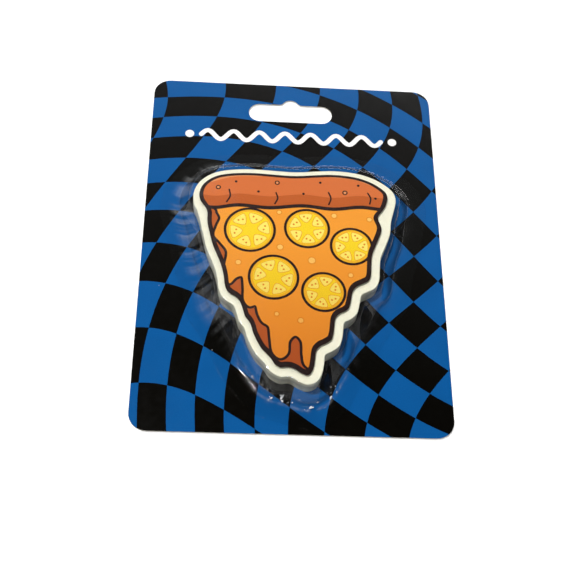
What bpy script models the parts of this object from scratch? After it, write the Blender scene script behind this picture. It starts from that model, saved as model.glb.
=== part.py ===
"""A jumbo eraser cut like a slice of pizza, sealed under a clear blister on a printed hang card.

Metres. +Z points out of the card's printed face, +Y towards the hang slot, and the origin lies
under the middle of the card's back.
"""

import math

import bmesh
import bpy
import numpy as np

MM = 0.001

# Hang card, cut from one sheet of board
CARD_WIDTH = 108.0 * MM
CARD_HEIGHT = 146.0 * MM
CARD_THICKNESS = 0.5 * MM
CARD_CORNER_RADIUS = 6.3 * MM

# Hang slot: a long slot with round ends, and a round bump that centres it on a peg
SLOT_LENGTH = 32.4 * MM
SLOT_HEIGHT = 8.3 * MM
SLOT_BELOW_EDGE = 9.6 * MM
SLOT_OFF_CENTRE = -0.9 * MM
BUMP_RADIUS = 3.6 * MM
BUMP_RISE = 2.3 * MM
BUMP_FILLET = 2.0 * MM

# Eraser, a thick slab with straight sides and a slightly softened rim
ERASER_THICKNESS = 6.5 * MM
ERASER_RIM = 0.4 * MM

# Eraser's outline in millimetres from the card's centre, anticlockwise: the crust from right to
# left, the left edge with its drips, the two drips of the tip, and the right edge with its drips
CRUST = [
    (37.4, 16.5), (36.7, 20.0), (34.2, 22.9), (30.0, 25.7), (25.0, 27.6), (19.5, 28.5),
    (14.0, 28.7), (8.0, 28.2), (1.0, 27.5), (-5.0, 27.6), (-14.0, 28.0), (-21.5, 27.6),
    (-27.8, 26.3), (-32.2, 23.8), (-35.2, 20.3), (-36.5, 16.0), (-36.1, 11.8),
]
LEFT_EDGE = [
    (-34.9, 9.0), (-33.8, 5.5), (-32.5, 0.0), (-30.7, -7.0), (-27.9, -14.0), (-26.7, -18.5),
    (-26.2, -22.0), (-25.1, -25.3), (-23.1, -27.4), (-20.9, -28.9), (-19.8, -31.5),
    (-18.7, -35.0), (-16.9, -37.6), (-15.7, -41.5), (-13.0, -46.8), (-9.8, -50.4), (-7.9, -53.2),
]
TIP = [
    (-4.6, -55.1), (-1.3, -54.9), (1.5, -56.6), (4.5, -57.6), (7.4, -56.6), (9.3, -53.6),
    (10.1, -49.5),
]
RIGHT_EDGE = [
    (10.5, -46.7), (12.5, -45.4), (15.2, -43.3), (16.4, -40.0), (16.8, -36.8), (17.3, -34.1),
    (19.5, -32.8), (21.7, -30.5), (22.8, -26.5), (23.5, -23.4), (25.4, -22.1), (28.3, -20.3),
    (29.9, -17.3), (30.4, -12.0), (30.9, -8.0), (32.7, -3.3), (34.6, 2.0), (35.2, 7.0),
    (36.4, 11.8),
]
STEPS_PER_POINT = 3

# A point well inside the eraser that its whole outline can be seen from
OUTLINE_CENTRE = np.array([2.0, -15.0]) * MM

# Blister, drawn from one clear sheet
SHEET = 0.3 * MM
DOME_SIDE_CLEARANCE = 1.0 * MM
DOME_HEADROOM = 0.5 * MM
DOME_FLARE = 4.5 * MM
DOME_TOP_RADIUS = 2.0 * MM
DOME_FOOT_RADIUS = 1.5 * MM
FLANGE_WIDTH = 6.5 * MM
FLANGE_DROP = 1.5 * MM
# The smallest hollow curve that the drawn sheet follows, at the dome's edge and at its foot
EDGE_HOLLOW_RADIUS = 3.0 * MM
FOOT_HOLLOW_RADIUS = 60.0 * MM
BLISTER_RAYS = 140
FILLET_STEPS = 3
FINE_RAYS = 720

# Gap that keeps two faces that rest on each other apart
SEAT_GAP = 0.3 * MM

ERASER_BASE = CARD_THICKNESS + SEAT_GAP
ERASER_TOP = ERASER_BASE + ERASER_THICKNESS
FLANGE_TOP = CARD_THICKNESS + SEAT_GAP + SHEET
DOME_TOP = ERASER_TOP + DOME_HEADROOM + SHEET
SLOT_TOP = CARD_HEIGHT / 2 - SLOT_BELOW_EDGE
SLOT_MIDDLE = SLOT_TOP - SLOT_HEIGHT / 2


def clear_scene():
    for thing in list(bpy.data.objects):
        bpy.data.objects.remove(thing, do_unlink=True)


def material(name, colour, roughness, alpha=1.0, transmission=0.0):
    finish = bpy.data.materials.new(name)
    finish.use_nodes = True
    shader = finish.node_tree.nodes["Principled BSDF"]
    shader.inputs["Base Color"].default_value = (*colour, 1.0)
    shader.inputs["Roughness"].default_value = roughness
    shader.inputs["Metallic"].default_value = 0.0
    shader.inputs["Alpha"].default_value = alpha
    shader.inputs["Transmission Weight"].default_value = transmission
    finish.diffuse_color = (*colour, alpha)
    return finish


def object_from(name, shape, finish, place=(0.0, 0.0, 0.0)):
    """Makes the named object from a bmesh drawn about its own origin, and puts it in its place."""
    bmesh.ops.recalc_face_normals(shape, faces=shape.faces[:])
    mesh = bpy.data.meshes.new(name)
    shape.to_mesh(mesh)
    shape.free()
    mesh.materials.append(finish)
    thing = bpy.data.objects.new(name, mesh)
    thing.location = place
    bpy.context.collection.objects.link(thing)
    return thing


def smooth_sides(thing, sharp_above):
    thing.data.shade_smooth()
    thing.data.set_sharp_from_angle(angle=math.radians(sharp_above))


def prism(outline, low, high):
    """A straight-sided solid of this outline, from the height low to the height high."""
    shape = bmesh.new()
    base = [shape.verts.new((x, y, low)) for x, y in outline]
    foot = shape.faces.new(base)
    lifted = bmesh.ops.extrude_face_region(shape, geom=[foot])["geom"]
    raised = [part for part in lifted if isinstance(part, bmesh.types.BMVert)]
    bmesh.ops.translate(shape, verts=raised, vec=(0.0, 0.0, high - low))
    return shape


def arc(centre, radius, start, stop, steps):
    """Points of an arc, with its angles in degrees and both ends included."""
    turns = np.radians(np.linspace(start, stop, steps + 1))
    return [(centre[0] + radius * math.cos(a), centre[1] + radius * math.sin(a)) for a in turns]


def card_outline():
    across = CARD_WIDTH / 2 - CARD_CORNER_RADIUS
    along = CARD_HEIGHT / 2 - CARD_CORNER_RADIUS
    corners = [(across, along), (-across, along), (-across, -along), (across, -along)]
    outline = []
    for turn, corner in enumerate(corners):
        outline += arc(corner, CARD_CORNER_RADIUS, turn * 90, turn * 90 + 90, 8)
    return outline


def slot_outline():
    """The slot's round ends, with the bump rising from its upper edge through two hollow fillets."""
    end = SLOT_HEIGHT / 2
    reach = SLOT_LENGTH / 2 - end
    bump_centre = SLOT_TOP + BUMP_RISE - BUMP_RADIUS
    fillet_centre = SLOT_TOP + BUMP_FILLET
    drop = fillet_centre - bump_centre
    aside = math.sqrt((BUMP_RADIUS + BUMP_FILLET) ** 2 - drop**2)
    lean = math.degrees(math.atan2(drop, aside))
    outline = arc((reach, SLOT_MIDDLE), end, -90, 90, 10)
    outline += arc((aside, fillet_centre), BUMP_FILLET, 270, 180 + lean, 4)
    outline += arc((0.0, bump_centre), BUMP_RADIUS, lean, 180 - lean, 8)
    outline += arc((-aside, fillet_centre), BUMP_FILLET, -lean, -90, 4)
    outline += arc((-reach, SLOT_MIDDLE), end, 90, 270, 10)
    return [(x + SLOT_OFF_CENTRE, y) for x, y in outline]


def spline(points, steps):
    """A closed Catmull-Rom curve through the points, with this many steps from each to the next."""
    knots = np.array(points)
    before, after, beyond = np.roll(knots, 1, 0), np.roll(knots, -1, 0), np.roll(knots, -2, 0)
    curve = []
    for part in range(steps):
        t = part / steps
        curve.append(
            knots
            + 0.5 * t * (after - before)
            + 0.5 * t**2 * (2 * before - 5 * knots + 4 * after - beyond)
            + 0.5 * t**3 * (3 * knots - before - 3 * after + beyond)
        )
    return np.stack(curve, 1).reshape(-1, 2)


def eraser_outline(steps):
    return spline(np.array(CRUST + LEFT_EDGE + TIP + RIGHT_EDGE) * MM, steps)


def directions(angles):
    return np.stack([np.cos(angles), np.sin(angles)], 1)


def reach(outline, angles, distance, outward):
    """How far each ray from the outline's centre runs before it meets a line set off from the outline.

    The line lies this distance outside the outline, or inside it where outward is false.
    """
    rays = directions(angles)
    spots = outline - OUTLINE_CENTRE
    along = spots @ rays.T
    aside = spots @ np.stack([-rays[:, 1], rays[:, 0]], 1).T
    half_chord = np.sqrt(np.clip(distance**2 - aside**2, 0.0, None))
    met = (np.abs(aside) <= distance) & (along > 0.0)
    if outward:
        return np.where(met, along + half_chord, -np.inf).max(0)
    return np.where(met, along - half_chord, np.inf).min(0)


def set_off(outline, distance, hollow_radius, angles):
    """A line outside the outline, one point on each ray, hollow nowhere tighter than hollow_radius."""
    fine = np.linspace(0.0, 2 * math.pi, FINE_RAYS, endpoint=False)
    wide = reach(outline, fine, distance + hollow_radius, outward=True)
    wide_line = OUTLINE_CENTRE + wide[:, None] * directions(fine)
    drawn_in = reach(wide_line, angles, hollow_radius, outward=False)
    return OUTLINE_CENTRE + drawn_in[:, None] * directions(angles)


def even_angles(outline, count):
    """Ray angles that share the dome's edge out into equal lengths."""
    fine = np.linspace(0.0, 2 * math.pi, FINE_RAYS + 1)
    line = set_off(outline, DOME_SIDE_CLEARANCE, EDGE_HOLLOW_RADIUS, fine)
    lengths = np.linalg.norm(np.diff(line, axis=0), axis=1)
    travelled = np.concatenate([[0.0], np.cumsum(lengths)])
    shares = np.linspace(0.0, travelled[-1], count, endpoint=False)
    return np.interp(shares, travelled, fine)


def wall_profile(inset):
    """The dome's section from its ceiling to its flange, as (distance out, height over the flange).

    The outer face has inset 0 and the inner face lies one sheet inside it, about the same centres.
    """
    rise = DOME_TOP - FLANGE_TOP
    slope = math.atan2(rise, DOME_FLARE)
    half = math.tan(slope / 2)
    lean = math.degrees(slope)
    top_centre = (-DOME_TOP_RADIUS * half, rise - DOME_TOP_RADIUS)
    foot_centre = (DOME_FLARE + DOME_FOOT_RADIUS * half, DOME_FOOT_RADIUS)
    section = arc(top_centre, DOME_TOP_RADIUS - inset, 90, 90 - lean, FILLET_STEPS)
    section += arc(foot_centre, DOME_FOOT_RADIUS + inset, 270 - lean, 270, FILLET_STEPS)
    section.append((DOME_FLARE + FLANGE_WIDTH, -inset))
    return section


def blister_shell():
    outline = eraser_outline(3 * STEPS_PER_POINT)
    angles = even_angles(outline, BLISTER_RAYS)
    foot_distance = DOME_SIDE_CLEARANCE + DOME_FLARE
    edge = set_off(outline, DOME_SIDE_CLEARANCE, EDGE_HOLLOW_RADIUS, angles)
    foot = set_off(outline, foot_distance, FOOT_HOLLOW_RADIUS, angles)
    rim = set_off(outline, foot_distance + FLANGE_WIDTH, FOOT_HOLLOW_RADIUS, angles)
    rim -= (0.0, FLANGE_DROP)

    def ring(shape, out, height):
        if out <= DOME_FLARE:
            line = edge + (foot - edge) * out / DOME_FLARE
        else:
            line = foot + (rim - foot) * (out - DOME_FLARE) / FLANGE_WIDTH
        return [shape.verts.new((x, y, height)) for x, y in line]

    shape = bmesh.new()
    outer = [ring(shape, out, height) for out, height in wall_profile(0.0)]
    inner = [ring(shape, out, height) for out, height in wall_profile(SHEET)]
    rings = outer + inner[::-1]
    for first, second in zip(rings, rings[1:]):
        for here in range(BLISTER_RAYS):
            there = (here + 1) % BLISTER_RAYS
            shape.faces.new((first[here], first[there], second[there], second[here]))
    shape.faces.new(rings[0])
    shape.faces.new(rings[-1][::-1])
    clear_pet = material("clear_pet", (0.86, 0.91, 0.95), 0.06, alpha=0.25, transmission=1.0)
    shell = object_from("blister_shell", shape, clear_pet, place=(0.0, 0.0, FLANGE_TOP))
    smooth_sides(shell, 40)
    return shell


def backing_card():
    printed_board = material("printed_board", (0.013, 0.105, 0.36), 0.35)
    card = object_from("backing_card", prism(card_outline(), 0.0, CARD_THICKNESS), printed_board)
    overcut = CARD_THICKNESS
    punch = prism(slot_outline(), -overcut, CARD_THICKNESS + overcut)
    cutter = object_from("hang_slot_cutter", punch, printed_board)
    cutter.hide_render = True
    cutter.display_type = "WIRE"
    slot = card.modifiers.new("hang_slot", "BOOLEAN")
    slot.operation = "DIFFERENCE"
    slot.solver = "EXACT"
    slot.object = cutter
    return card


def eraser_body():
    white_vinyl = material("white_vinyl", (0.86, 0.83, 0.72), 0.5)
    slab = prism(eraser_outline(STEPS_PER_POINT), 0.0, ERASER_THICKNESS)
    eraser = object_from("eraser_body", slab, white_vinyl, place=(0.0, 0.0, ERASER_BASE))
    rim = eraser.modifiers.new("softened_rim", "BEVEL")
    rim.width = ERASER_RIM
    rim.segments = 2
    rim.limit_method = "ANGLE"
    rim.angle_limit = math.radians(60)
    smooth_sides(eraser, 50)
    return eraser


def main():
    clear_scene()
    backing_card()
    eraser_body()
    blister_shell()


main()
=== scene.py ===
"""Looks of a jumbo eraser cut like a slice of pizza, under a clear blister on a printed hang card."""

import math

import bmesh
import bpy
import numpy as np
from mathutils import Euler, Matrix, Vector, geometry, noise


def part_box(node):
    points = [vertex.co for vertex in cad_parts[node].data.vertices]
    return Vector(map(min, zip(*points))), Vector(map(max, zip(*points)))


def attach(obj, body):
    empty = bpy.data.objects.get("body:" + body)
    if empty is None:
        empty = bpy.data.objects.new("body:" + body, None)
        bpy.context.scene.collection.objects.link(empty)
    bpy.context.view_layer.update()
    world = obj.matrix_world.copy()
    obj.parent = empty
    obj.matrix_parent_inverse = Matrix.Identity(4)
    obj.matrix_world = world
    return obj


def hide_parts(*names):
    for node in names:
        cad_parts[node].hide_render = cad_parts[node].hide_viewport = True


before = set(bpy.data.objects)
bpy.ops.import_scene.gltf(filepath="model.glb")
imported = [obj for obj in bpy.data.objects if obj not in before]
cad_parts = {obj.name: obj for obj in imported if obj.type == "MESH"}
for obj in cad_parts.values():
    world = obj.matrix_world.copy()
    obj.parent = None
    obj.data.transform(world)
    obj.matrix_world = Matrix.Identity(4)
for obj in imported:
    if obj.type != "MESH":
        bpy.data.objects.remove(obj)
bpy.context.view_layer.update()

MM = 0.001

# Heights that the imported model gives, in millimetres
CARD_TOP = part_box("backing_card")[1].z / MM
ERASER_BASE, ERASER_TOP = (corner.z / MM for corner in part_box("eraser_body"))
FLANGE_BASE, DOME_TOP = (corner.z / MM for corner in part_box("blister_shell"))

# Camera, a phone held over the card's lower edge: picture and focal length in pixels, sensor and
# place in millimetres, turn in degrees
PICTURE_WIDTH = 580
FOCAL_LENGTH = 1025
SENSOR = 36.0
CAMERA_PLACE = (-23.9, -193.0, 316.4)
CAMERA_TURN = (28.78, -4.18, 0.06)

# Lamps: place and size of the square or oblong in metres, power in watts
LAMPS = {
    "overhead_lamp": ((-0.43, 0.16, 1.25), (0.11, 0.11), 12.5),
    "far_window": ((0.35, 1.55, 1.10), (1.40, 0.70), 12.0),
    "near_lamp": ((0.02, -0.48, 1.20), (0.11, 0.11), 1.6),
    "left_lamp": ((-0.36, -0.43, 1.20), (0.11, 0.11), 1.4),
}

# The direction of the room's bright wall, away from the photographer
FAR_SIDE = (-0.5, 0.87, 0.0)

# Table: its side in metres, and how far it lies under the card in millimetres
TABLE_SIZE = 1.6
TABLE_GAP = 0.2

# Limits of the part of the card that only the slot's corners lie in, in millimetres, left to right
# and from foot to head
SLOT_ZONE = (-25.0, 25.0), (50.0, 70.0)

# How far apart two corners may be, in millimetres, in height to be on one level, and to be one
SAME_LEVEL = 0.01
SAME_PLACE = 1e-4

# Blister, drawn from one sheet, in millimetres
SHEET = 0.3
DOME_CLEARANCE = 1.0
DOME_FLARE = 4.5
DOME_TOP_RADIUS = 2.0
DOME_FOOT_RADIUS = 2.2
FLANGE_WIDTH = 6.5
FLANGE_DROP = 1.5
EDGE_HOLLOW = 3.0
FOOT_HOLLOW = 60.0
OUTLINE_CENTRE = np.array([2.0, -15.0])
OUTLINE_RAYS = 720
BLISTER_RAYS = 640
FILLET_STEPS = 8
WALL_STEPS = 6
FLANGE_STEPS = 8

# Ripples up the blister's wall, and the crease along its foot that deepens towards the tip
DRAW_RIPPLE = 0.07
RIPPLES_PER_MM = 0.35
TIP_CREASE = 0.35
CREASES_PER_MM = 0.3
CREASE_WIDTH = 0.9
CREASED_BELOW = -47.0
CREASED_OVER = 10.0

# Whitish haze in the blister's wall, partly the sheet's milkiness and partly painted reflection, as shares
# of the wall's width: densest at the first, and gone at the second to either side of it
HAZIEST = 0.7
HAZE_REACH = 1.1

# A painted highlight line just outside the wall's foot, laid on as whitening: how far out, how wide and
# how strong
FOOT_LINE = 1.1
FOOT_LINE_WIDTH = 0.22
FOOT_HIGHLIGHT_STRENGTH = 1.1

# Both are full on the left and fade to the least over this far. The line is full at the tip too
HAZE_FULL_LEFT_OF = -22.0
HAZE_FADES_OVER = 12.0
LEAST_HAZE = 0.05

# Ink colours of the eraser's print
LINE = "#200703"
CRUST = "#D66E34"
CRUST_SHADE = "#BE5A1E"
CRUST_LIGHT = "#E39058"
SIDE_CRUST = "#BC5C22"
CHEESE = "#F49A2C"
CHEESE_LIGHT = "#FBC060"
CHEESE_DARK = "#E3861A"
RIND = "#F4B01A"
FLESH = "#F9D21C"
POCKET_LINE = "#EA9A14"
POCKET = "#FCE468"

# Painted shade that darkens and warms the print towards its tip: in full and not at all at these heights
TIP_PAINTED_SHADE = "#DFC6A8"
FULL_SHADE_AT = -55.0
NO_SHADE_AT = 0.0

# Ink colours of the card
BLUE = "#0C5493"
BLACK = "#060503"
WHITE = "#F6F5F1"
BOARD = "#D9D5CB"

# Eraser and the frame of its print, in millimetres
RIM_RADIUS = 0.28
RIM_STEPS = 4
FILM = 0.03
FILM_GAP = 0.01
WHITE_BORDER = 2.7
BORDER_SHIFT = np.array([-0.5, 0.3])
KEY_LINE = 1.5
KEY_SHIFT = np.array([-0.05, 0.45])
NIP_HEIGHT = 8.6
NIP_LENGTH = 3.2
NIP_DEPTH_LEFT = 1.0
NIP_DEPTH_RIGHT = 1.8

# Drawing on the eraser, in millimetres: points run along a line, and rounds are x, y and radius
THIN_LINE = 0.95
CRUST_FOOT = np.array([
    (-46, 14), (-37, 12.3), (-29, 10.7), (-20, 12.2), (-9, 11.5), (3, 12.9), (14, 12.0), (24, 13.3),
    (33, 12.6), (46, 13),
], float)
CRUST_SHADE_HEIGHT = 4.2
BAND_HALF_WIDTH = 46.0
BAND_TOP = 40.0
CRUST_GLEAMS = [[(-30, 21.5), (-22, 24.2), (-12, 24.8)], [(13, 25.6), (22, 25.0), (29, 22.4)]]
GLEAM_WIDTH = 0.9
CREASES = [
    [(-24.4, 12.6), (-23.2, 15.2), (-23.6, 18.0)], [(-7.0, 12.6), (-6.0, 15.0), (-6.6, 17.4)],
    [(12.6, 13.2), (13.4, 15.8), (12.6, 18.4)], [(27.6, 14.2), (28.0, 16.6), (27.0, 18.8)],
]
CREASE_LINE = 0.6
CRUST_BUBBLES = [
    (-27.6, 18.8, 0.95), (-21.2, 21.6, 0.5), (-13.0, 17.6, 0.5), (-6.2, 21.8, 0.95), (3.4, 17.4, 0.5),
    (9.6, 22.6, 0.5), (18.6, 18.6, 1.0), (23.6, 22.0, 0.5), (29.8, 16.6, 0.5),
]
BUBBLE_LINE = 0.45
OPEN_BUBBLE = 0.7
CHEESE_EDGE = [
    (-27.2, 15.0), (-27.6, 9.0), (-26.4, 5.6), (-27.4, 2.4), (-28.2, -1.6), (-26.0, -4.6),
    (-23.6, -8.2), (-24.0, -13.0), (-24.8, -18.2), (-22.6, -21.0), (-20.2, -18.6), (-18.0, -18.2),
    (-17.4, -22.6), (-17.2, -27.2), (-15.4, -29.6), (-13.2, -29.2), (-12.2, -32.6), (-10.8, -35.4),
    (-8.6, -37.2), (-8.0, -41.6), (-7.2, -46.6), (-4.7, -48.7), (-2.3, -46.8), (-1.8, -42.4),
    (0.4, -40.2), (2.5, -42.4), (2.8, -47.2), (3.4, -50.6), (5.4, -52.2), (7.3, -50.6),
    (7.6, -46.0), (8.6, -42.0), (14.0, -42.0), (22.0, -36.0), (32.0, -22.0), (42.0, 0.0), (42.0, 15.0),
]
CHEESE_BUBBLES = [
    (-5.0, -5.6, 1.0), (14.4, 8.4, 0.9), (6.2, -10.6, 1.2), (19.8, -16.0, 0.8), (-19.6, -12.4, 0.9),
    (2.2, -34.4, 0.9), (-6.0, -32.2, 0.7), (27.2, 7.4, 0.8), (-5.4, 9.0, 0.7),
]
CHEESE_BUBBLE_LINE = 0.35

# Tomato slices: middle, radius and turn in degrees
SLICES = [
    ((-15.8, 1.2), 9.3, 10), ((4.6, 2.6), 8.3, 35), ((20.4, -4.2), 7.8, 5), ((-7.2, -17.8), 9.0, 50),
    ((10.2, -23.0), 7.9, 20),
]
SKIN = 0.8
POCKET_EDGE = 0.22
SEED_RADIUS = 0.38

# Seed pockets of a slice: how many, half the wall between two in degrees, and lengths as shares of
# the slice's radius, along the pocket and to its side
POCKETS = 6
POCKET_WALL = 9.0
POCKET_NEAR = 0.3
POCKET_FAR = 0.74
POCKET_FLANK = (0.533, 0.222)
SEEDS = ((0.52, -0.07), (0.6, 0.08))

# The card's wavy rule, in millimetres, with a round stop past each end
RULE_ENDS = (-35.0, 34.0)
RULE_HEIGHT = 47.6
RULE_SWING = 2.0
RULE_WAVES = 7
RULE_WIDTH = 1.9
STEPS_PER_WAVE = 16
STOP_RADIUS = 1.7
STOP_GAP = 4.4

# The checks' warp net: where every fourth corner of a plain check is drawn to, row by row from
# the foot of the card, in millimetres from its centre
NET_COLUMNS = (-4, 0, 4, 8)
NET_ROWS = (-3, 1, 5, 9)
WARP_NET = np.array([
    [(-94, -120), (-50, -80), (-10, -90), (49, -114)],
    [(-91, -18), (-38, -3), (-1, -30), (41, -66)],
    [(-75, 39), (-4, 41), (36, 7), (70, -30)],
    [(-85, 80), (10, 80), (61, 49), (94, 23)],
], float)
CHECKS = range(-5, 12)
CHECK_EDGE_STEPS = 5

# A check that lies wholly further than this from the card's centre, across or along, is left out
CHECKS_REACH = np.array([60.0, 80.0])

# Sockets of a Mix node that mixes colours, which share their names with others
MIX_A, MIX_B, MIX_RESULT = 6, 7, 2


def linear(colour):
    """Linear red, green and blue of an sRGB hex colour."""
    parts = [int(colour[at:at + 2], 16) / 255 for at in (1, 3, 5)]
    return tuple(p / 12.92 if p <= 0.04045 else ((p + 0.055) / 1.055) ** 2.4 for p in parts)


def rgba(colour):
    """An sRGB hex colour as an opaque socket value."""
    return (*linear(colour), 1.0)


def add(tree, kind, links=None, **settings):
    """Adds a node with its settings. links gives each input a value, a socket, or a node, of which
    the first output is meant."""
    made = tree.nodes.new(kind)
    for name, value in settings.items():
        setattr(made, name, value)
    for name, value in (links or {}).items():
        if isinstance(value, bpy.types.Node):
            value = value.outputs[0]
        if isinstance(value, bpy.types.NodeSocket):
            tree.links.new(value, made.inputs[name])
        else:
            made.inputs[name].default_value = value
    return made


def blank_material(name):
    """A new material with an empty tree."""
    made = bpy.data.materials.new(name)
    made.use_nodes = True
    made.node_tree.nodes.clear()
    return made, made.node_tree


def grain(tree, size, detail, stretch=(1.0, 1.0, 1.0)):
    """Noise in object space whose features are about this many millimetres across. Most of it runs
    from 0.3 to 0.7."""
    place = add(tree, "ShaderNodeTexCoord").outputs["Object"]
    scaled = add(tree, "ShaderNodeMapping", {"Vector": place, "Scale": stretch})
    return add(tree, "ShaderNodeTexNoise", {"Vector": scaled, "Scale": 1 / (size * MM), "Detail": detail})


def grain_between(tree, pattern, least, most):
    """A grain pattern brought to run from least to most."""
    return add(tree, "ShaderNodeMapRange", {
        "Value": pattern, "From Min": 0.3, "From Max": 0.7, "To Min": least, "To Max": most,
    })


def varnished_print():
    """Offset ink on white-lined board under a roller varnish: even colour, soft gloss that follows
    the board's slight waviness, and a fine mottle where the ink has sunk into the coating."""
    made, tree = blank_material("varnished_offset_print")
    ink = add(tree, "ShaderNodeAttribute", attribute_name="ink")
    mottle = grain_between(tree, grain(tree, 0.5, 3.0), 0.94, 1.06)
    mottled = add(tree, "ShaderNodeVectorMath", {0: ink, "Scale": mottle}, operation="SCALE")
    cloud = grain_between(tree, grain(tree, 14.0, 1.0), 0.96, 1.04)
    clouded = add(tree, "ShaderNodeVectorMath", {0: mottled, "Scale": cloud}, operation="SCALE")
    colour = add(tree, "ShaderNodeMix", {
        "Factor": pinholes(tree), MIX_A: clouded, MIX_B: rgba("#B9BDC2"),
    }, data_type="RGBA")
    waves = add(tree, "ShaderNodeBump", {
        "Height": grain(tree, 9.0, 1.0), "Distance": 0.02 * MM, "Strength": 0.3,
    })
    shader = add(tree, "ShaderNodeBsdfPrincipled", {
        "Base Color": colour.outputs[MIX_RESULT],
        "Roughness": grain_between(tree, grain(tree, 2.5, 3.0), 0.11, 0.14),
        "Specular IOR Level": 0.4, "Normal": waves,
    })
    add(tree, "ShaderNodeOutputMaterial", {"Surface": shader})
    return made


def pinholes(tree):
    """Pinholes in the ink, about a third of a millimetre wide: one to a patch of 7 mm, and most
    patches bare."""
    place = add(tree, "ShaderNodeTexCoord").outputs["Object"]
    patches = add(tree, "ShaderNodeTexVoronoi", {"Vector": place, "Scale": 1 / (7 * MM)})
    pinhole = add(tree, "ShaderNodeMapRange", {
        "Value": patches, "From Min": 0.012, "From Max": 0.028, "To Min": 1.0, "To Max": 0.0,
    })
    kept = add(tree, "ShaderNodeMapRange", {
        "Value": grain(tree, 8.0, 0.0), "From Min": 0.52, "From Max": 0.58,
    })
    return add(tree, "ShaderNodeMath", {0: pinhole, 1: kept}, operation="MULTIPLY")


def grey_back_board():
    """White-lined chipboard, uncoated: matt, warm grey, with short pressed fibres."""
    made, tree = blank_material("uncoated_chipboard")
    ink = add(tree, "ShaderNodeAttribute", attribute_name="ink")
    fibres = grain(tree, 0.35, 4.0, stretch=(0.25, 1.0, 1.0))
    streak = grain_between(tree, fibres, 0.92, 1.05)
    streaked = add(tree, "ShaderNodeVectorMath", {0: ink, "Scale": streak}, operation="SCALE")
    fleck = add(tree, "ShaderNodeMapRange", {
        "Value": grain(tree, 0.9, 4.0), "From Min": 0.62, "From Max": 0.72, "To Min": 1.0, "To Max": 0.82,
    })
    flecked = add(tree, "ShaderNodeVectorMath", {0: streaked, "Scale": fleck}, operation="SCALE")
    shader = add(tree, "ShaderNodeBsdfPrincipled", {
        "Base Color": flecked, "Roughness": grain_between(tree, fibres, 0.8, 0.95),
        "Normal": add(tree, "ShaderNodeBump", {"Height": fibres, "Distance": 0.03 * MM}),
    })
    add(tree, "ShaderNodeOutputMaterial", {"Surface": shader})
    return made


def white_vinyl():
    """Cut sheet of eraser vinyl: chalky white with a warm cast, matt, faintly pitted by its filler."""
    made, tree = blank_material("eraser_vinyl")
    chalk = grain_between(tree, grain(tree, 1.6, 4.0), 0.94, 1.03)
    pits = grain(tree, 0.25, 3.0)
    shader = add(tree, "ShaderNodeBsdfPrincipled", {
        "Base Color": add(tree, "ShaderNodeVectorMath", {
            0: linear("#F6EFD6"), "Scale": chalk,
        }, operation="SCALE"),
        "Roughness": grain_between(tree, pits, 0.5, 0.66),
        "Normal": add(tree, "ShaderNodeBump", {"Height": pits, "Distance": 0.02 * MM, "Strength": 0.5}),
        "Subsurface Weight": 0.12, "Subsurface Radius": (1.0, 0.8, 0.6), "Subsurface Scale": 1.5 * MM,
    })
    add(tree, "ShaderNodeOutputMaterial", {"Surface": shader})
    return made


def pad_print():
    """Soft pad-printed ink film on vinyl: satin and slightly uneven in strength. Towards the slice's tip
    it is painted warmer and darker, a painted shade for the light falling off there."""
    made, tree = blank_material("pad_printed_ink")
    ink = add(tree, "ShaderNodeAttribute", attribute_name="ink")
    mottle = grain_between(tree, grain(tree, 0.35, 3.0), 0.93, 1.06)
    mottled = add(tree, "ShaderNodeVectorMath", {0: ink, "Scale": mottle}, operation="SCALE")
    place = add(tree, "ShaderNodeTexCoord").outputs["Object"]
    height = add(tree, "ShaderNodeSeparateXYZ", {"Vector": place}).outputs["Y"]
    # Painted shade: towards the tip the ink is multiplied by a warm, darker tint
    towards_tip = add(tree, "ShaderNodeMapRange", {
        "Value": height, "From Min": FULL_SHADE_AT * MM, "From Max": NO_SHADE_AT * MM,
        "To Min": 1.0, "To Max": 0.0,
    })
    shade_painted = add(tree, "ShaderNodeMix", {
        "Factor": towards_tip, MIX_A: mottled, MIX_B: rgba(TIP_PAINTED_SHADE),
    }, data_type="RGBA", blend_type="MULTIPLY")
    skin = grain(tree, 0.8, 3.0)
    shader = add(tree, "ShaderNodeBsdfPrincipled", {
        "Base Color": shade_painted.outputs[MIX_RESULT], "Roughness": grain_between(tree, skin, 0.3, 0.42),
        "Normal": add(tree, "ShaderNodeBump", {"Height": skin, "Distance": 0.01 * MM, "Strength": 0.4}),
        "Specular IOR Level": 0.2,
    })
    add(tree, "ShaderNodeOutputMaterial", {"Surface": shader})
    return made


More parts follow.
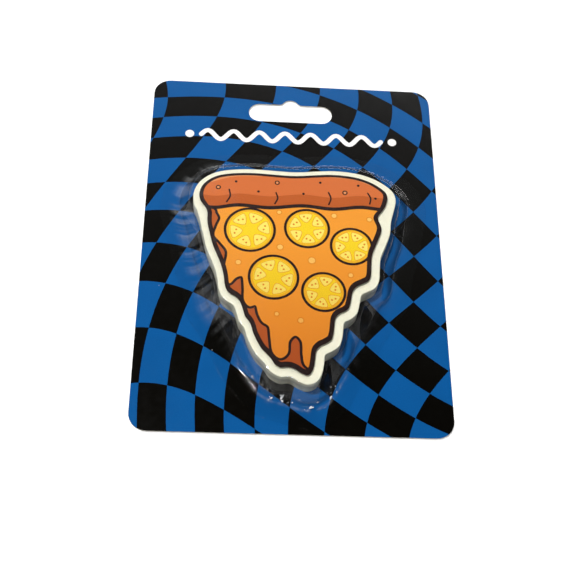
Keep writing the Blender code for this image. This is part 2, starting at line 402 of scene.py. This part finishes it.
def clear_pet():
    """Thermoformed PET sheet: what its outer face doesn't mirror passes straight through, as does all that
    meets the inner face, so close behind. It turns a little whitish up its wall, partly its own milkiness
    and partly painted reflection on the left, and has painted highlights: a white line past the wall's
    foot and white marks in the creased tip. It is painted darker at a slant and where it bends tightly, a
    painted shade for the light it turns aside there."""
    made, tree = blank_material("clear_thermoformed_pet")
    ripples = add(tree, "ShaderNodeBump", {"Height": grain(tree, 2.2, 1.0), "Distance": relief(tree)})
    facing = add(tree, "ShaderNodeLayerWeight", {"Blend": 0.5, "Normal": ripples}).outputs["Facing"]
    bend = add(tree, "ShaderNodeAttribute", attribute_name="bend").outputs["Fac"]
    painted_bend_shade = add(tree, "ShaderNodeMapRange", {"Value": bend, "To Min": 1.0, "To Max": 0.8})
    # Painted shade: less passes through at a slant and in tight bends, for the light the sheet turns aside
    # there
    at_slant = add(tree, "ShaderNodeMapRange", {
        "Value": facing, "From Min": 0.4, "From Max": 1.0, "To Min": 1.0, "To Max": 0.6,
    })
    dimmed = add(tree, "ShaderNodeVectorMath", {0: linear("#FDFEFE"), "Scale": painted_bend_shade}, operation="SCALE")
    dimmed = add(tree, "ShaderNodeVectorMath", {0: dimmed, "Scale": at_slant}, operation="SCALE")
    through = add(tree, "ShaderNodeBsdfTransparent", {"Color": dimmed})
    haze = add(tree, "ShaderNodeBsdfDiffuse", {"Color": rgba("#F4F6F8"), "Normal": ripples})
    body = add(tree, "ShaderNodeMixShader", {0: whitening_and_painted_light(tree), 1: through, 2: haze})
    gloss = add(tree, "ShaderNodeBsdfAnisotropic", {
        "Color": rgba("#FFFFFF"), "Roughness": 0.045, "Normal": ripples,
    })
    mixed = add(tree, "ShaderNodeMixShader", {0: mirrored(tree, facing), 1: body, 2: gloss})
    add(tree, "ShaderNodeOutputMaterial", {"Surface": mixed})
    return made


def relief(tree):
    """How deep the sheet's faint ripples are: shallow from handling, deeper in the creased tip."""
    creased = add(tree, "ShaderNodeAttribute", attribute_name="creased").outputs["Fac"]
    return add(tree, "ShaderNodeMapRange", {
        "Value": creased, "To Min": 0.012 * MM, "To Max": 0.05 * MM,
    })


def whitening_and_painted_light(tree):
    """How whitish the sheet turns: streaks up its wall, partly its own milkiness and partly painted
    reflection, a painted highlight line past its foot, and sparse white marks in the creased tip, which
    are painted glints."""
    foot = add(tree, "ShaderNodeAttribute", attribute_name="foot").outputs["Vector"]
    streaks = add(tree, "ShaderNodeMapRange", {
        "Value": add(tree, "ShaderNodeTexNoise", {"Vector": foot, "Scale": 0.35, "Detail": 3.0}),
        "From Min": 0.42, "From Max": 0.7, "To Min": 0.0, "To Max": 0.1,
    })
    wall = add(tree, "ShaderNodeAttribute", attribute_name="wall").outputs["Fac"]
    streaks = add(tree, "ShaderNodeMath", {0: streaks, 1: wall}, operation="MULTIPLY")
    # Painted glints: sparse white marks where the tip is creased
    marks = add(tree, "ShaderNodeMapRange", {
        "Value": grain(tree, 1.5, 1.0), "From Min": 0.66, "From Max": 0.7,
    })
    creased = add(tree, "ShaderNodeAttribute", attribute_name="creased").outputs["Fac"]
    marks = add(tree, "ShaderNodeMath", {0: marks, 1: creased}, operation="MULTIPLY")
    return add(tree, "ShaderNodeMath", {0: streaks, 1: marks}, operation="MAXIMUM")


def mirrored(tree, facing):
    """How much the sheet's outer face mirrors: all at a grazing slant, and 2 percent head on, where
    PET's own figure is 5, because the real pack's mirror image is that faint."""
    slant = add(tree, "ShaderNodeMath", {0: facing, 1: 5.0}, operation="POWER")
    share = add(tree, "ShaderNodeMapRange", {"Value": slant, "To Min": 0.02, "To Max": 1.0})
    outside = add(tree, "ShaderNodeAttribute", attribute_name="outside").outputs["Fac"]
    return add(tree, "ShaderNodeMath", {0: share, 1: outside}, operation="MULTIPLY")


def seen(tree):
    """1 for what the eye sees, directly, mirrored or through glass, and 0 for what lights the object."""
    ray = add(tree, "ShaderNodeLightPath").outputs
    direct = {0: ray["Is Camera Ray"], 1: ray["Is Glossy Ray"]}
    direct = add(tree, "ShaderNodeMath", direct, operation="MAXIMUM")
    return add(tree, "ShaderNodeMath", {0: direct, 1: ray["Is Transmission Ray"]}, operation="MAXIMUM")


def white_table():
    """Plain white studio board. It glows a little to the eye, more towards its edges, so that it
    stays white where the lamps fall off."""
    made, tree = blank_material("white_studio_board")
    place = add(tree, "ShaderNodeTexCoord").outputs["Object"]
    away = add(tree, "ShaderNodeVectorMath", {0: place}, operation="LENGTH").outputs["Value"]
    glow = add(tree, "ShaderNodeMapRange", {
        "Value": away, "From Min": 0.25, "From Max": 0.8, "To Min": 0.12, "To Max": 0.6,
    })
    shader = add(tree, "ShaderNodeBsdfPrincipled", {
        "Base Color": rgba("#FAFAFA"), "Roughness": 0.9, "Specular IOR Level": 0.0,
        "Emission Color": rgba("#FFFFFF"),
        "Emission Strength": add(tree, "ShaderNodeMath", {0: seen(tree), 1: glow}, operation="MULTIPLY"),
    })
    add(tree, "ShaderNodeOutputMaterial", {"Surface": shader})
    return made


def corners_of(node):
    """A CAD node's corners, in millimetres."""
    return np.array([corner.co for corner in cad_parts[node].data.vertices]) / MM


def loop_at(corners, height, centre=None):
    """The corners at this height, once each, in order round the centre or their own middle."""
    level = corners[np.abs(corners[:, 2] - height) < SAME_LEVEL][:, :2]
    level = np.unique(np.round(level, 3), axis=0)
    if centre is None:
        centre = (level.min(0) + level.max(0)) / 2
    turn = np.arctan2(level[:, 1] - centre[1], level[:, 0] - centre[0])
    return level[np.argsort(turn)]


def spline(points, steps, closed=True):
    """A Catmull-Rom curve through the points."""
    knots = np.array(points, float)
    if closed:
        before, after, beyond = np.roll(knots, 1, 0), np.roll(knots, -1, 0), np.roll(knots, -2, 0)
    else:
        padded = np.vstack([2 * knots[0] - knots[1], knots, 2 * knots[-1] - knots[-2]])
        before, knots, after, beyond = padded[:-3], padded[1:-2], padded[2:-1], padded[3:]
    curve = []
    for part in range(steps):
        t = part / steps
        curve.append(
            knots
            + 0.5 * t * (after - before)
            + 0.5 * t**2 * (2 * before - 5 * knots + 4 * after - beyond)
            + 0.5 * t**3 * (3 * knots - before - 3 * after + beyond)
        )
    line = np.stack(curve, 1).reshape(-1, 2)
    return line if closed else np.vstack([line, padded[-2]])


def all_round(count):
    """This many angles, evenly round a full turn."""
    return np.linspace(0.0, 2 * math.pi, count, endpoint=False)


def directions(angles):
    """Unit vectors at these angles."""
    return np.stack([np.cos(angles), np.sin(angles)], 1)


def reach(outline, angles, distance, outward):
    """How far rays from the outline's centre run to a line set this far outside, or inside, it."""
    rays = directions(angles)
    spots = outline - OUTLINE_CENTRE
    along = spots @ rays.T
    aside = spots @ np.stack([-rays[:, 1], rays[:, 0]], 1).T
    half_chord = np.sqrt(np.clip(distance**2 - aside**2, 0.0, None))
    met = (np.abs(aside) <= distance) & (along > 0.0)
    if outward:
        return np.where(met, along + half_chord, -np.inf).max(0)
    return np.where(met, along - half_chord, np.inf).min(0)


def set_in(outline, distance):
    """A line this far inside the outline."""
    angles = all_round(OUTLINE_RAYS)
    drawn_in = reach(outline, angles, distance, outward=False)
    return OUTLINE_CENTRE + drawn_in[:, None] * directions(angles)


def set_off(outline, distance, hollow, angles):
    """A line outside the outline, hollow nowhere tighter than this radius."""
    fine = all_round(OUTLINE_RAYS)
    wide = reach(outline, fine, distance + hollow, outward=True)
    wide_line = OUTLINE_CENTRE + wide[:, None] * directions(fine)
    drawn_in = reach(wide_line, angles, hollow, outward=False)
    return OUTLINE_CENTRE + drawn_in[:, None] * directions(angles)


def grown(line, distance):
    """A closed line moved outwards along its normals."""
    ahead = np.roll(line, -1, 0) - np.roll(line, 1, 0)
    normal = np.stack([ahead[:, 1], -ahead[:, 0]], 1)
    normal /= np.linalg.norm(normal, axis=1)[:, None]
    area = np.sum(line[:, 0] * np.roll(line[:, 1], -1) - np.roll(line[:, 0], -1) * line[:, 1])
    return line + normal * distance * (1 if area > 0 else -1)


def circle(centre, radius, count):
    """A circle of this many points."""
    return np.array(centre) + radius * directions(all_round(count))


def stroke(points, width, steps=6):
    """The outline of a pen line with round ends through the points."""
    line = spline(points, steps, closed=False)
    ahead = np.gradient(line, axis=0)
    ahead /= np.linalg.norm(ahead, axis=1)[:, None]
    aside = np.stack([-ahead[:, 1], ahead[:, 0]], 1) * width / 2
    tip = math.atan2(ahead[-1][1], ahead[-1][0])
    tail = math.atan2(ahead[0][1], ahead[0][0])
    half_round = np.linspace(-math.pi / 2, math.pi / 2, 7)[1:-1]
    end_cap = line[-1] + width / 2 * directions(tip + half_round)
    start_cap = line[0] + width / 2 * directions(tail + math.pi + half_round)
    return np.vstack([(line - aside), end_cap, (line + aside)[::-1], start_cap])


def partition(outlines):
    """Cuts the plane along every outline. Gives the points, the triangles, and for each triangle
    the numbers of the outlines that hold it."""
    points, faces = [], []
    for outline in outlines:
        faces.append(list(range(len(points), len(points) + len(outline))))
        points += [Vector(spot) for spot in outline]
    made = geometry.delaunay_2d_cdt(points, [], faces, 1, SAME_PLACE, True)
    return made[0], made[2], made[5]


def painted_slab(name, sheet, layers, low, high, bare_ink, finishes, holes=(), framed=False):
    """A closed slab, less its holes, whose top face is cut along the layers' outlines, each
    triangle in the ink of the topmost layer that holds it. The rest has the bare ink, and sides
    and underside have the last finish too. A framed slab's layers stop at the first one's edge."""
    inks = [linear(bare_ink)] + [linear(ink) for _, ink in layers]
    outlines = [sheet] + [outline for outline, _ in layers] + list(holes)
    points, triangles, owners = partition(outlines)
    slab = bmesh.new()
    ink_of = slab.faces.layers.float_vector.new("face_ink")
    upper = [slab.verts.new((p.x * MM, p.y * MM, high * MM)) for p in points]
    lower = [slab.verts.new((p.x * MM, p.y * MM, low * MM)) for p in points]
    for triangle, held in zip(triangles, owners):
        if 0 not in held or max(held) >= len(inks):
            continue
        shown = 0 if framed and 1 not in held else max(held)
        for corners, facing, ink in ((upper, 1, inks[shown]), (lower, -1, inks[0])):
            face = slab.faces.new([corners[at] for at in triangle])
            face.normal_update()
            if face.normal.z * facing < 0:
                face.normal_flip()
            face[ink_of] = ink
            face.material_index = 0 if facing > 0 else len(finishes) - 1
    place = {vert: at for at, vert in enumerate(upper)}
    for edge in [e for e in slab.edges if e.is_boundary and e.verts[0] in place]:
        loop = edge.link_loops[0]
        start, stop = place[loop.vert], place[loop.link_loop_next.vert]
        side = slab.faces.new((upper[stop], upper[start], lower[start], lower[stop]))
        side[ink_of] = inks[0]
        side.material_index = len(finishes) - 1
    bmesh.ops.delete(slab, geom=[v for v in slab.verts if not v.link_faces], context="VERTS")
    mesh = bpy.data.meshes.new(name)
    slab.to_mesh(mesh)
    slab.free()
    ink_corners(mesh)
    for finish in finishes:
        mesh.materials.append(finish)
    return linked(name, mesh)


def ink_corners(mesh):
    """Turns each face's ink into a colour on its corners, which the materials read."""
    held = np.zeros(len(mesh.polygons) * 3, np.float32)
    mesh.attributes["face_ink"].data.foreach_get("vector", held)
    per_face = np.hstack([held.reshape(-1, 3), np.ones((len(mesh.polygons), 1), np.float32)])
    corners = np.zeros(len(mesh.polygons), np.int32)
    mesh.polygons.foreach_get("loop_total", corners)
    mesh.attributes.remove(mesh.attributes["face_ink"])
    colours = mesh.color_attributes.new("ink", "FLOAT_COLOR", "CORNER")
    colours.data.foreach_set("color", np.repeat(per_face, corners, axis=0).ravel())


def linked(name, data):
    """A new object in the scene."""
    made = bpy.data.objects.new(name, data)
    bpy.context.collection.objects.link(made)
    return made


def warp(column, row):
    """Where the warp net draws a corner of the plain check, through its four rows and columns."""
    across = net_weights(NET_COLUMNS, column)
    along = net_weights(NET_ROWS, row)
    return np.einsum("a,b,abc->c", along, across, WARP_NET)


def net_weights(stations, at):
    """Each station's share of the cubic through all four."""
    weights = []
    for own in stations:
        others = [other for other in stations if other != own]
        weights.append(math.prod((at - other) / (own - other) for other in others))
    return weights


def check_layers():
    """The blue checks, each drawn through the warp net."""
    along = np.arange(CHECK_EDGE_STEPS) / CHECK_EDGE_STEPS
    none, full = along * 0, along * 0 + 1
    square = np.stack([[along, full, 1 - along, none], [none, along, full, 1 - along]]).reshape(2, -1).T
    layers = []
    for row in CHECKS:
        for column in CHECKS:
            if (row + column) % 2:
                continue
            outline = np.array([warp(column + x, row + y) for x, y in square])
            if (np.abs(outline).min(0) < CHECKS_REACH).all():
                layers.append((outline, BLUE))
    return layers


def wave_rule():
    """A plain wavy rule with a round stop at each end, over the eraser."""
    left, right = RULE_ENDS
    across = np.linspace(left, right, STEPS_PER_WAVE * RULE_WAVES + 1)
    up = RULE_HEIGHT + RULE_SWING * np.sin((across - left) / (right - left) * RULE_WAVES * 2 * math.pi)
    rule = stroke(np.stack([across, up], 1), RULE_WIDTH, steps=1)
    stops = [circle((end, RULE_HEIGHT), STOP_RADIUS, 40) for end in (left - STOP_GAP, right + STOP_GAP)]
    return [(outline, WHITE) for outline in [rule, *stops]]


def card_sheet():
    """The printed card, cut along its CAD outline and slot."""
    corners = corners_of("backing_card")
    (left, right), (foot, head) = SLOT_ZONE
    x, y = corners[:, 0], corners[:, 1]
    in_slot = (x > left) & (x < right) & (y > foot) & (y < head)
    outline = loop_at(corners[~in_slot], 0.0)
    slot = loop_at(corners[in_slot], 0.0)
    layers = [(outline, BLACK)] + check_layers() + wave_rule()
    finishes = [varnished_print(), grey_back_board()]
    card = painted_slab("card_sheet", outline, layers, 0.0, CARD_TOP, BOARD, finishes, holes=[slot])
    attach(card, "card")
    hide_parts("backing_card")


def cut_slab_tree():
    """Fills an outline, raises it to a slab and gives it its finish."""
    tree = bpy.data.node_groups.new("cut_slab", "GeometryNodeTree")
    face = tree.interface
    face.new_socket("Geometry", in_out="INPUT", socket_type="NodeSocketGeometry")
    face.new_socket("Thickness", in_out="INPUT", socket_type="NodeSocketFloat")
    face.new_socket("Finish", in_out="INPUT", socket_type="NodeSocketMaterial")
    face.new_socket("Geometry", in_out="OUTPUT", socket_type="NodeSocketGeometry")
    given = add(tree, "NodeGroupInput").outputs
    filled = add(tree, "GeometryNodeFillCurve", {"Curve": given["Geometry"]}, mode="NGONS")
    raised = add(tree, "GeometryNodeExtrudeMesh", {
        "Mesh": filled, "Offset Scale": given["Thickness"], "Individual": False,
    })
    underside = add(tree, "GeometryNodeFlipFaces", {"Mesh": filled})
    joined = add(tree, "GeometryNodeJoinGeometry")
    for half in (underside, raised):
        tree.links.new(half.outputs["Mesh"], joined.inputs["Geometry"])
    welded = add(tree, "GeometryNodeMergeByDistance", {"Geometry": joined, "Distance": 0.001 * MM})
    whole = add(tree, "GeometryNodeRealizeInstances", {"Geometry": welded})
    finished = add(tree, "GeometryNodeSetMaterial", {"Geometry": whole, "Material": given["Finish"]})
    add(tree, "NodeGroupOutput", {"Geometry": finished})
    return tree


def grow_by_tree(seed, tree, inputs):
    """Runs a geometry tree on the seed object and gives the plain mesh that it makes."""
    grower = seed.modifiers.new(tree.name, "NODES")
    grower.node_group = tree
    for item in tree.interface.items_tree:
        if item.in_out == "INPUT" and item.name in inputs:
            grower[item.identifier] = inputs[item.name]
    view = bpy.context.evaluated_depsgraph_get()
    mesh = bpy.data.meshes.new_from_object(seed.evaluated_get(view))
    bpy.data.objects.remove(seed, do_unlink=True)
    return mesh


def outline_curve(name, line, height):
    """A closed curve object on the line, at this height in millimetres."""
    curve = bpy.data.curves.new(name, "CURVE")
    curve.dimensions = "3D"
    run = curve.splines.new("POLY")
    run.points.add(len(line) - 1)
    for spot, (x, y) in zip(run.points, line):
        spot.co = (x * MM, y * MM, height * MM, 1.0)
    run.use_cyclic_u = True
    return linked(name, curve)


def eraser_line():
    """The eraser's cut edge, drawn smoothly through its CAD solid's corners where that is widest,
    just over its softened lower rim."""
    corners = corners_of("eraser_body")
    heights = corners[:, 2]
    widest = heights[heights < (ERASER_BASE + ERASER_TOP) / 2].max()
    return spline(loop_at(corners, widest, OUTLINE_CENTRE), 4)


def eraser_slab(edge):
    """The vinyl slab, cut from its outline with a knife-cut side and a slightly rounded rim."""
    seed = outline_curve("eraser_outline", edge, ERASER_BASE)
    mesh = grow_by_tree(seed, cut_slab_tree(), {
        "Thickness": (ERASER_TOP - ERASER_BASE) * MM, "Finish": white_vinyl(),
    })
    mesh.name = "eraser_slab"
    slab = linked("eraser_slab", mesh)
    rim = slab.modifiers.new("rounded_rim", "BEVEL")
    rim.width = RIM_RADIUS * MM
    rim.segments = RIM_STEPS
    rim.limit_method = "ANGLE"
    rim.angle_limit = math.radians(60)
    mesh.shade_smooth()
    mesh.set_sharp_from_angle(angle=math.radians(50))
    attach(slab, "eraser")
    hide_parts("eraser_body")


def nipped(line):
    """The print's edge, drawn in under both ends of the crust."""
    near = np.exp(-(((line[:, 1] - NIP_HEIGHT) / NIP_LENGTH) ** 2))
    pull = np.where(line[:, 0] < 0, NIP_DEPTH_LEFT, -NIP_DEPTH_RIGHT) * near
    return line + np.stack([pull, 0 * pull], 1)


def crust_band(foot):
    """A closed shape from an open line up over the top of the eraser."""
    line = spline(foot, 8, closed=False)
    return np.vstack([line, [(BAND_HALF_WIDTH, BAND_TOP), (-BAND_HALF_WIDTH, BAND_TOP)]])


def crust_layers():
    """The crust over the cheese, with its gleams, its bubbles and its creases."""
    layers = [(crust_band(CRUST_FOOT - (0, KEY_LINE)), LINE), (crust_band(CRUST_FOOT), CRUST_SHADE)]
    layers.append((crust_band(CRUST_FOOT + (0, CRUST_SHADE_HEIGHT)), CRUST))
    layers += [(stroke(gleam, GLEAM_WIDTH), CRUST_LIGHT) for gleam in CRUST_GLEAMS]
    for x, y, radius in CRUST_BUBBLES:
        layers.append((circle((x, y), radius, 20), LINE))
        if radius > OPEN_BUBBLE:
            layers.append((circle((x, y), radius - BUBBLE_LINE, 20), CRUST_LIGHT))
    return layers + [(stroke(crease, CREASE_LINE), LINE) for crease in CREASES]


def cheese_layers():
    """The cheese with its lower edge and its bubbles."""
    cheese = spline(CHEESE_EDGE, 6)
    layers = [(grown(cheese, THIN_LINE), LINE), (cheese, CHEESE)]
    for x, y, radius in CHEESE_BUBBLES:
        layers.append((circle((x, y), radius + CHEESE_BUBBLE_LINE, 24), CHEESE_DARK))
        layers.append((circle((x, y), radius, 24), CHEESE_LIGHT))
    return layers


def slice_layers(centre, radius, turn):
    """A round slice of yellow tomato: skin, flesh and a ring of seed pockets."""
    layers = [
        (circle(centre, radius, 72), LINE),
        (circle(centre, radius - THIN_LINE, 72), RIND),
        (circle(centre, radius - THIN_LINE - SKIN, 72), FLESH),
    ]
    half = math.radians(180 / POCKETS - POCKET_WALL)
    far_end = POCKET_FAR * directions(np.linspace(-half, half, 5))
    along, aside = POCKET_FLANK
    pocket = radius * spline([(POCKET_NEAR, 0.0), (along, -aside), *far_end, (along, aside)], 4)
    for number in range(POCKETS):
        lean = math.radians(turn + number * 360 / POCKETS)
        spin = np.array([[math.cos(lean), math.sin(lean)], [-math.sin(lean), math.cos(lean)]])
        turned = pocket @ spin
        layers += [(grown(turned, POCKET_EDGE) + centre, POCKET_LINE), (turned + centre, POCKET)]
        for seed in SEEDS:
            place = radius * np.array(seed) @ spin + centre
            layers.append((circle(place, SEED_RADIUS, 12), CHEESE_DARK))
    return layers


def slice_print(edge):
    """The ink film: a dark key line inside the white border, and the drawing within it."""
    silhouette = nipped(set_in(edge, WHITE_BORDER) + BORDER_SHIFT)
    inside = nipped(set_in(edge, WHITE_BORDER + KEY_LINE) + BORDER_SHIFT + KEY_SHIFT)
    layers = [(inside, SIDE_CRUST)] + cheese_layers()
    for tomato in SLICES:
        layers += slice_layers(*tomato)
    layers += crust_layers()
    base = ERASER_TOP + FILM_GAP
    film = painted_slab(
        "slice_print", silhouette, layers, base, base + FILM, LINE, [pad_print()], framed=True,
    )
    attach(film, "eraser")


def fillet(centre, radius, start, stop):
    """Points on an arc between two angles in degrees."""
    turns = np.radians(np.linspace(start, stop, FILLET_STEPS + 1))
    return [tuple(spot) for spot in np.array(centre) + radius * directions(turns)]


def wall_section(inset):
    """The dome's section from ceiling to flange edge, as distance out, height over the flange and how much
    painted shade the sheet takes at its bends."""
    rise = DOME_TOP - FLANGE_BASE - SHEET
    slope = math.atan2(rise, DOME_FLARE)
    half, lean = math.tan(slope / 2), math.degrees(slope)
    top_centre = (-DOME_TOP_RADIUS * half, rise - DOME_TOP_RADIUS)
    foot_centre = (DOME_FLARE + DOME_FOOT_RADIUS * half, DOME_FOOT_RADIUS)
    top = fillet(top_centre, DOME_TOP_RADIUS - inset, 90, 90 - lean)
    foot = fillet(foot_centre, DOME_FOOT_RADIUS + inset, 270 - lean, 270)
    wall = [tuple(spot) for spot in np.linspace(top[-1], foot[0], WALL_STEPS + 1)[1:-1]]
    end = DOME_FLARE + FLANGE_WIDTH
    flange = [(out, -inset) for out in np.linspace(foot[-1][0], end, FLANGE_STEPS + 1)[1:]]
    # Painted shade of the bends: full where the ceiling's bend meets the wall, half where the foot's does,
    # none on the flat
    bends = [(step / FILLET_STEPS) ** 3 for step in range(FILLET_STEPS + 1)]
    shade = bends + [0.0] * len(wall) + [bend / 2 for bend in bends[::-1]] + [0.0] * len(flange)
    return [(*spot, bend) for spot, bend in zip(top + wall + foot + flange, shade)]


def wave_along(line, per_mm, seed):
    """Smooth noise from -1 to 1 along a line."""
    return np.array([noise.noise(Vector((x * per_mm, y * per_mm, seed))) for x, y in line])


def evenly_spaced(line_at, count):
    """The angles at which this many points lie evenly along a closed line."""
    fine = np.linspace(0.0, 2 * math.pi, OUTLINE_RAYS + 1)
    steps = np.linalg.norm(np.diff(line_at(fine), axis=0), axis=1)
    travelled = np.concatenate([[0.0], np.cumsum(steps)])
    return np.interp(np.linspace(0, travelled[-1], count, endpoint=False), travelled, fine)


def blister_dome(edge):
    """The clear shell: one sheet drawn over the eraser, with faint draw ripples in its wall. Its
    corners carry what the sheet's finish reads: foot, where the wall stands, in millimetres, and
    bend, creased, wall and outside, from 0 to 1 or a little more."""
    angles = evenly_spaced(lambda at: set_off(edge, DOME_CLEARANCE, EDGE_HOLLOW, at), BLISTER_RAYS)
    top = set_off(edge, DOME_CLEARANCE, EDGE_HOLLOW, angles)
    foot = set_off(edge, DOME_CLEARANCE + DOME_FLARE, FOOT_HOLLOW, angles)
    flange_end = DOME_CLEARANCE + DOME_FLARE + FLANGE_WIDTH
    rim = set_off(edge, flange_end, FOOT_HOLLOW, angles) - (0, FLANGE_DROP)
    rays = directions(angles)
    towards_tip = np.clip((CREASED_BELOW - foot[:, 1]) / CREASED_OVER, 0.0, 1.0)
    # Painted reflection: the wall's haze and the line past its foot are full on the left and fade to the
    # least towards the right
    left_weight = np.clip((HAZE_FULL_LEFT_OF - foot[:, 0]) / HAZE_FADES_OVER, LEAST_HAZE, 1.0)
    ripple = DRAW_RIPPLE * wave_along(foot, RIPPLES_PER_MM, 4.0)
    crease = TIP_CREASE * wave_along(foot, CREASES_PER_MM, 9.0) * towards_tip

    shell = bmesh.new()
    verts = shell.verts
    foot_of = verts.layers.float_vector.new("foot")
    value_of = {name: verts.layers.float.new(name) for name in ("bend", "creased", "wall", "outside")}

    def ring(out, height, bend, outside):
        share = out / DOME_FLARE
        past_foot = out - DOME_FLARE
        if past_foot <= 0:
            spots = top + (foot - top) * share
        else:
            spots = foot + (rim - foot) * past_foot / FLANGE_WIDTH
        in_ripple = math.sin(math.pi * min(1.0, max(0.0, share)))
        in_crease = math.exp(-((past_foot / CREASE_WIDTH) ** 2))
        in_wall = max(0.0, 1.0 - abs(share - HAZIEST) / HAZE_REACH)
        # Painted highlight: a whitish line just past the wall's foot
        in_foot_highlight = FOOT_HIGHLIGHT_STRENGTH * math.exp(-(((past_foot - FOOT_LINE) / FOOT_LINE_WIDTH) ** 2))
        spots = spots + rays * (ripple * in_ripple + crease * in_crease)[:, None]
        level = FLANGE_BASE + SHEET + height
        made = [verts.new((x * MM, y * MM, level * MM)) for x, y in spots]
        for vert, (x, y), tip, left_weight_here in zip(made, foot, towards_tip, left_weight):
            vert[foot_of] = (x, y, 0.0)
            vert[value_of["bend"]] = bend
            vert[value_of["creased"]] = tip * in_crease
            vert[value_of["wall"]] = max(in_wall * left_weight_here, in_foot_highlight * max(tip, left_weight_here))
            vert[value_of["outside"]] = outside
        return made

    outer = [ring(*spot, outside=1.0) for spot in wall_section(0.0)]
    inner = [ring(*spot, outside=0.0) for spot in wall_section(SHEET)]
    rings = outer + inner[::-1]
    for first, second in zip(rings, rings[1:]):
        for here in range(BLISTER_RAYS):
            there = (here + 1) % BLISTER_RAYS
            shell.faces.new((first[here], second[here], second[there], first[there]))
    shell.faces.new(rings[0])
    shell.faces.new(rings[-1][::-1])
    bmesh.ops.recalc_face_normals(shell, faces=shell.faces[:])
    mesh = bpy.data.meshes.new("blister_dome")
    shell.to_mesh(mesh)
    shell.free()
    mesh.materials.append(clear_pet())
    mesh.shade_smooth()
    mesh.set_sharp_from_angle(angle=math.radians(40))
    dome = linked("blister_dome", mesh)
    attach(dome, "blister")
    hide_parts("blister_shell")


def lights():
    """Area lamps over the table, each turned to the card."""
    for name, (place, size, power) in LAMPS.items():
        light = bpy.data.lights.new(name, "AREA")
        light.shape = "RECTANGLE"
        light.size, light.size_y = size
        light.energy = power
        lamp = linked(name, light)
        lamp.location = place
        lamp.rotation_euler = (-Vector(place)).to_track_quat("-Z", "Y").to_euler()


def room():
    """A room with pale walls and a dark ceiling, dim on the side where the photographer stands. To
    the eye, a white studio sweep rises behind the table and fades into the walls."""
    made = bpy.data.worlds.new("pale_walls")
    made.use_nodes = True
    tree = made.node_tree
    tree.nodes.clear()
    direction = add(tree, "ShaderNodeTexCoord").outputs["Generated"]
    rise = add(tree, "ShaderNodeSeparateXYZ", {"Vector": direction}).outputs["Z"]
    away = add(tree, "ShaderNodeVectorMath", {0: direction, 1: FAR_SIDE}, operation="DOT_PRODUCT")
    side = add(tree, "ShaderNodeMapRange", {
        "Value": away.outputs["Value"], "From Min": -1.0, "From Max": 1.0, "To Min": 0.2, "To Max": 1.0,
    })
    wall = add(tree, "ShaderNodeMapRange", {
        "Value": rise, "From Min": 0.72, "From Max": 0.9, "To Min": 0.45, "To Max": 0.02,
    })
    wall = add(tree, "ShaderNodeMath", {0: wall, 1: side}, operation="MULTIPLY")
    sweep = add(tree, "ShaderNodeMapRange", {
        "Value": rise, "From Min": 0.04, "From Max": 0.3, "To Min": 1.0, "To Max": 0.0,
    })
    sweep = add(tree, "ShaderNodeMath", {0: seen(tree), 1: sweep}, operation="MULTIPLY")
    glow = add(tree, "ShaderNodeBackground", {
        "Color": rgba("#FFFFFF"),
        "Strength": add(tree, "ShaderNodeMath", {0: wall, 1: sweep}, operation="MAXIMUM"),
    })
    add(tree, "ShaderNodeOutputWorld", {"Surface": glow})
    bpy.context.scene.world = made


def table():
    """The white board that the pack lies on."""
    bpy.ops.mesh.primitive_plane_add(size=TABLE_SIZE, location=(0.0, 0.0, -TABLE_GAP * MM))
    board = bpy.context.active_object
    board.name = "table"
    board.data.materials.append(white_table())


def camera():
    """The phone's camera, which sees the whole pack at a slant."""
    data = bpy.data.cameras.new("phone_camera")
    data.sensor_width = SENSOR
    data.lens = SENSOR * FOCAL_LENGTH / PICTURE_WIDTH
    data.clip_start = 0.01
    phone = linked("phone_camera", data)
    phone.location = Vector(CAMERA_PLACE) * MM
    phone.rotation_euler = Euler([math.radians(turn) for turn in CAMERA_TURN])
    bpy.context.scene.camera = phone


def main():
    camera()
    lights()
    room()
    table()
    edge = eraser_line()
    card_sheet()
    eraser_slab(edge)
    slice_print(edge)
    blister_dome(edge)
    bpy.context.scene.view_settings.view_transform = "Standard"


main()
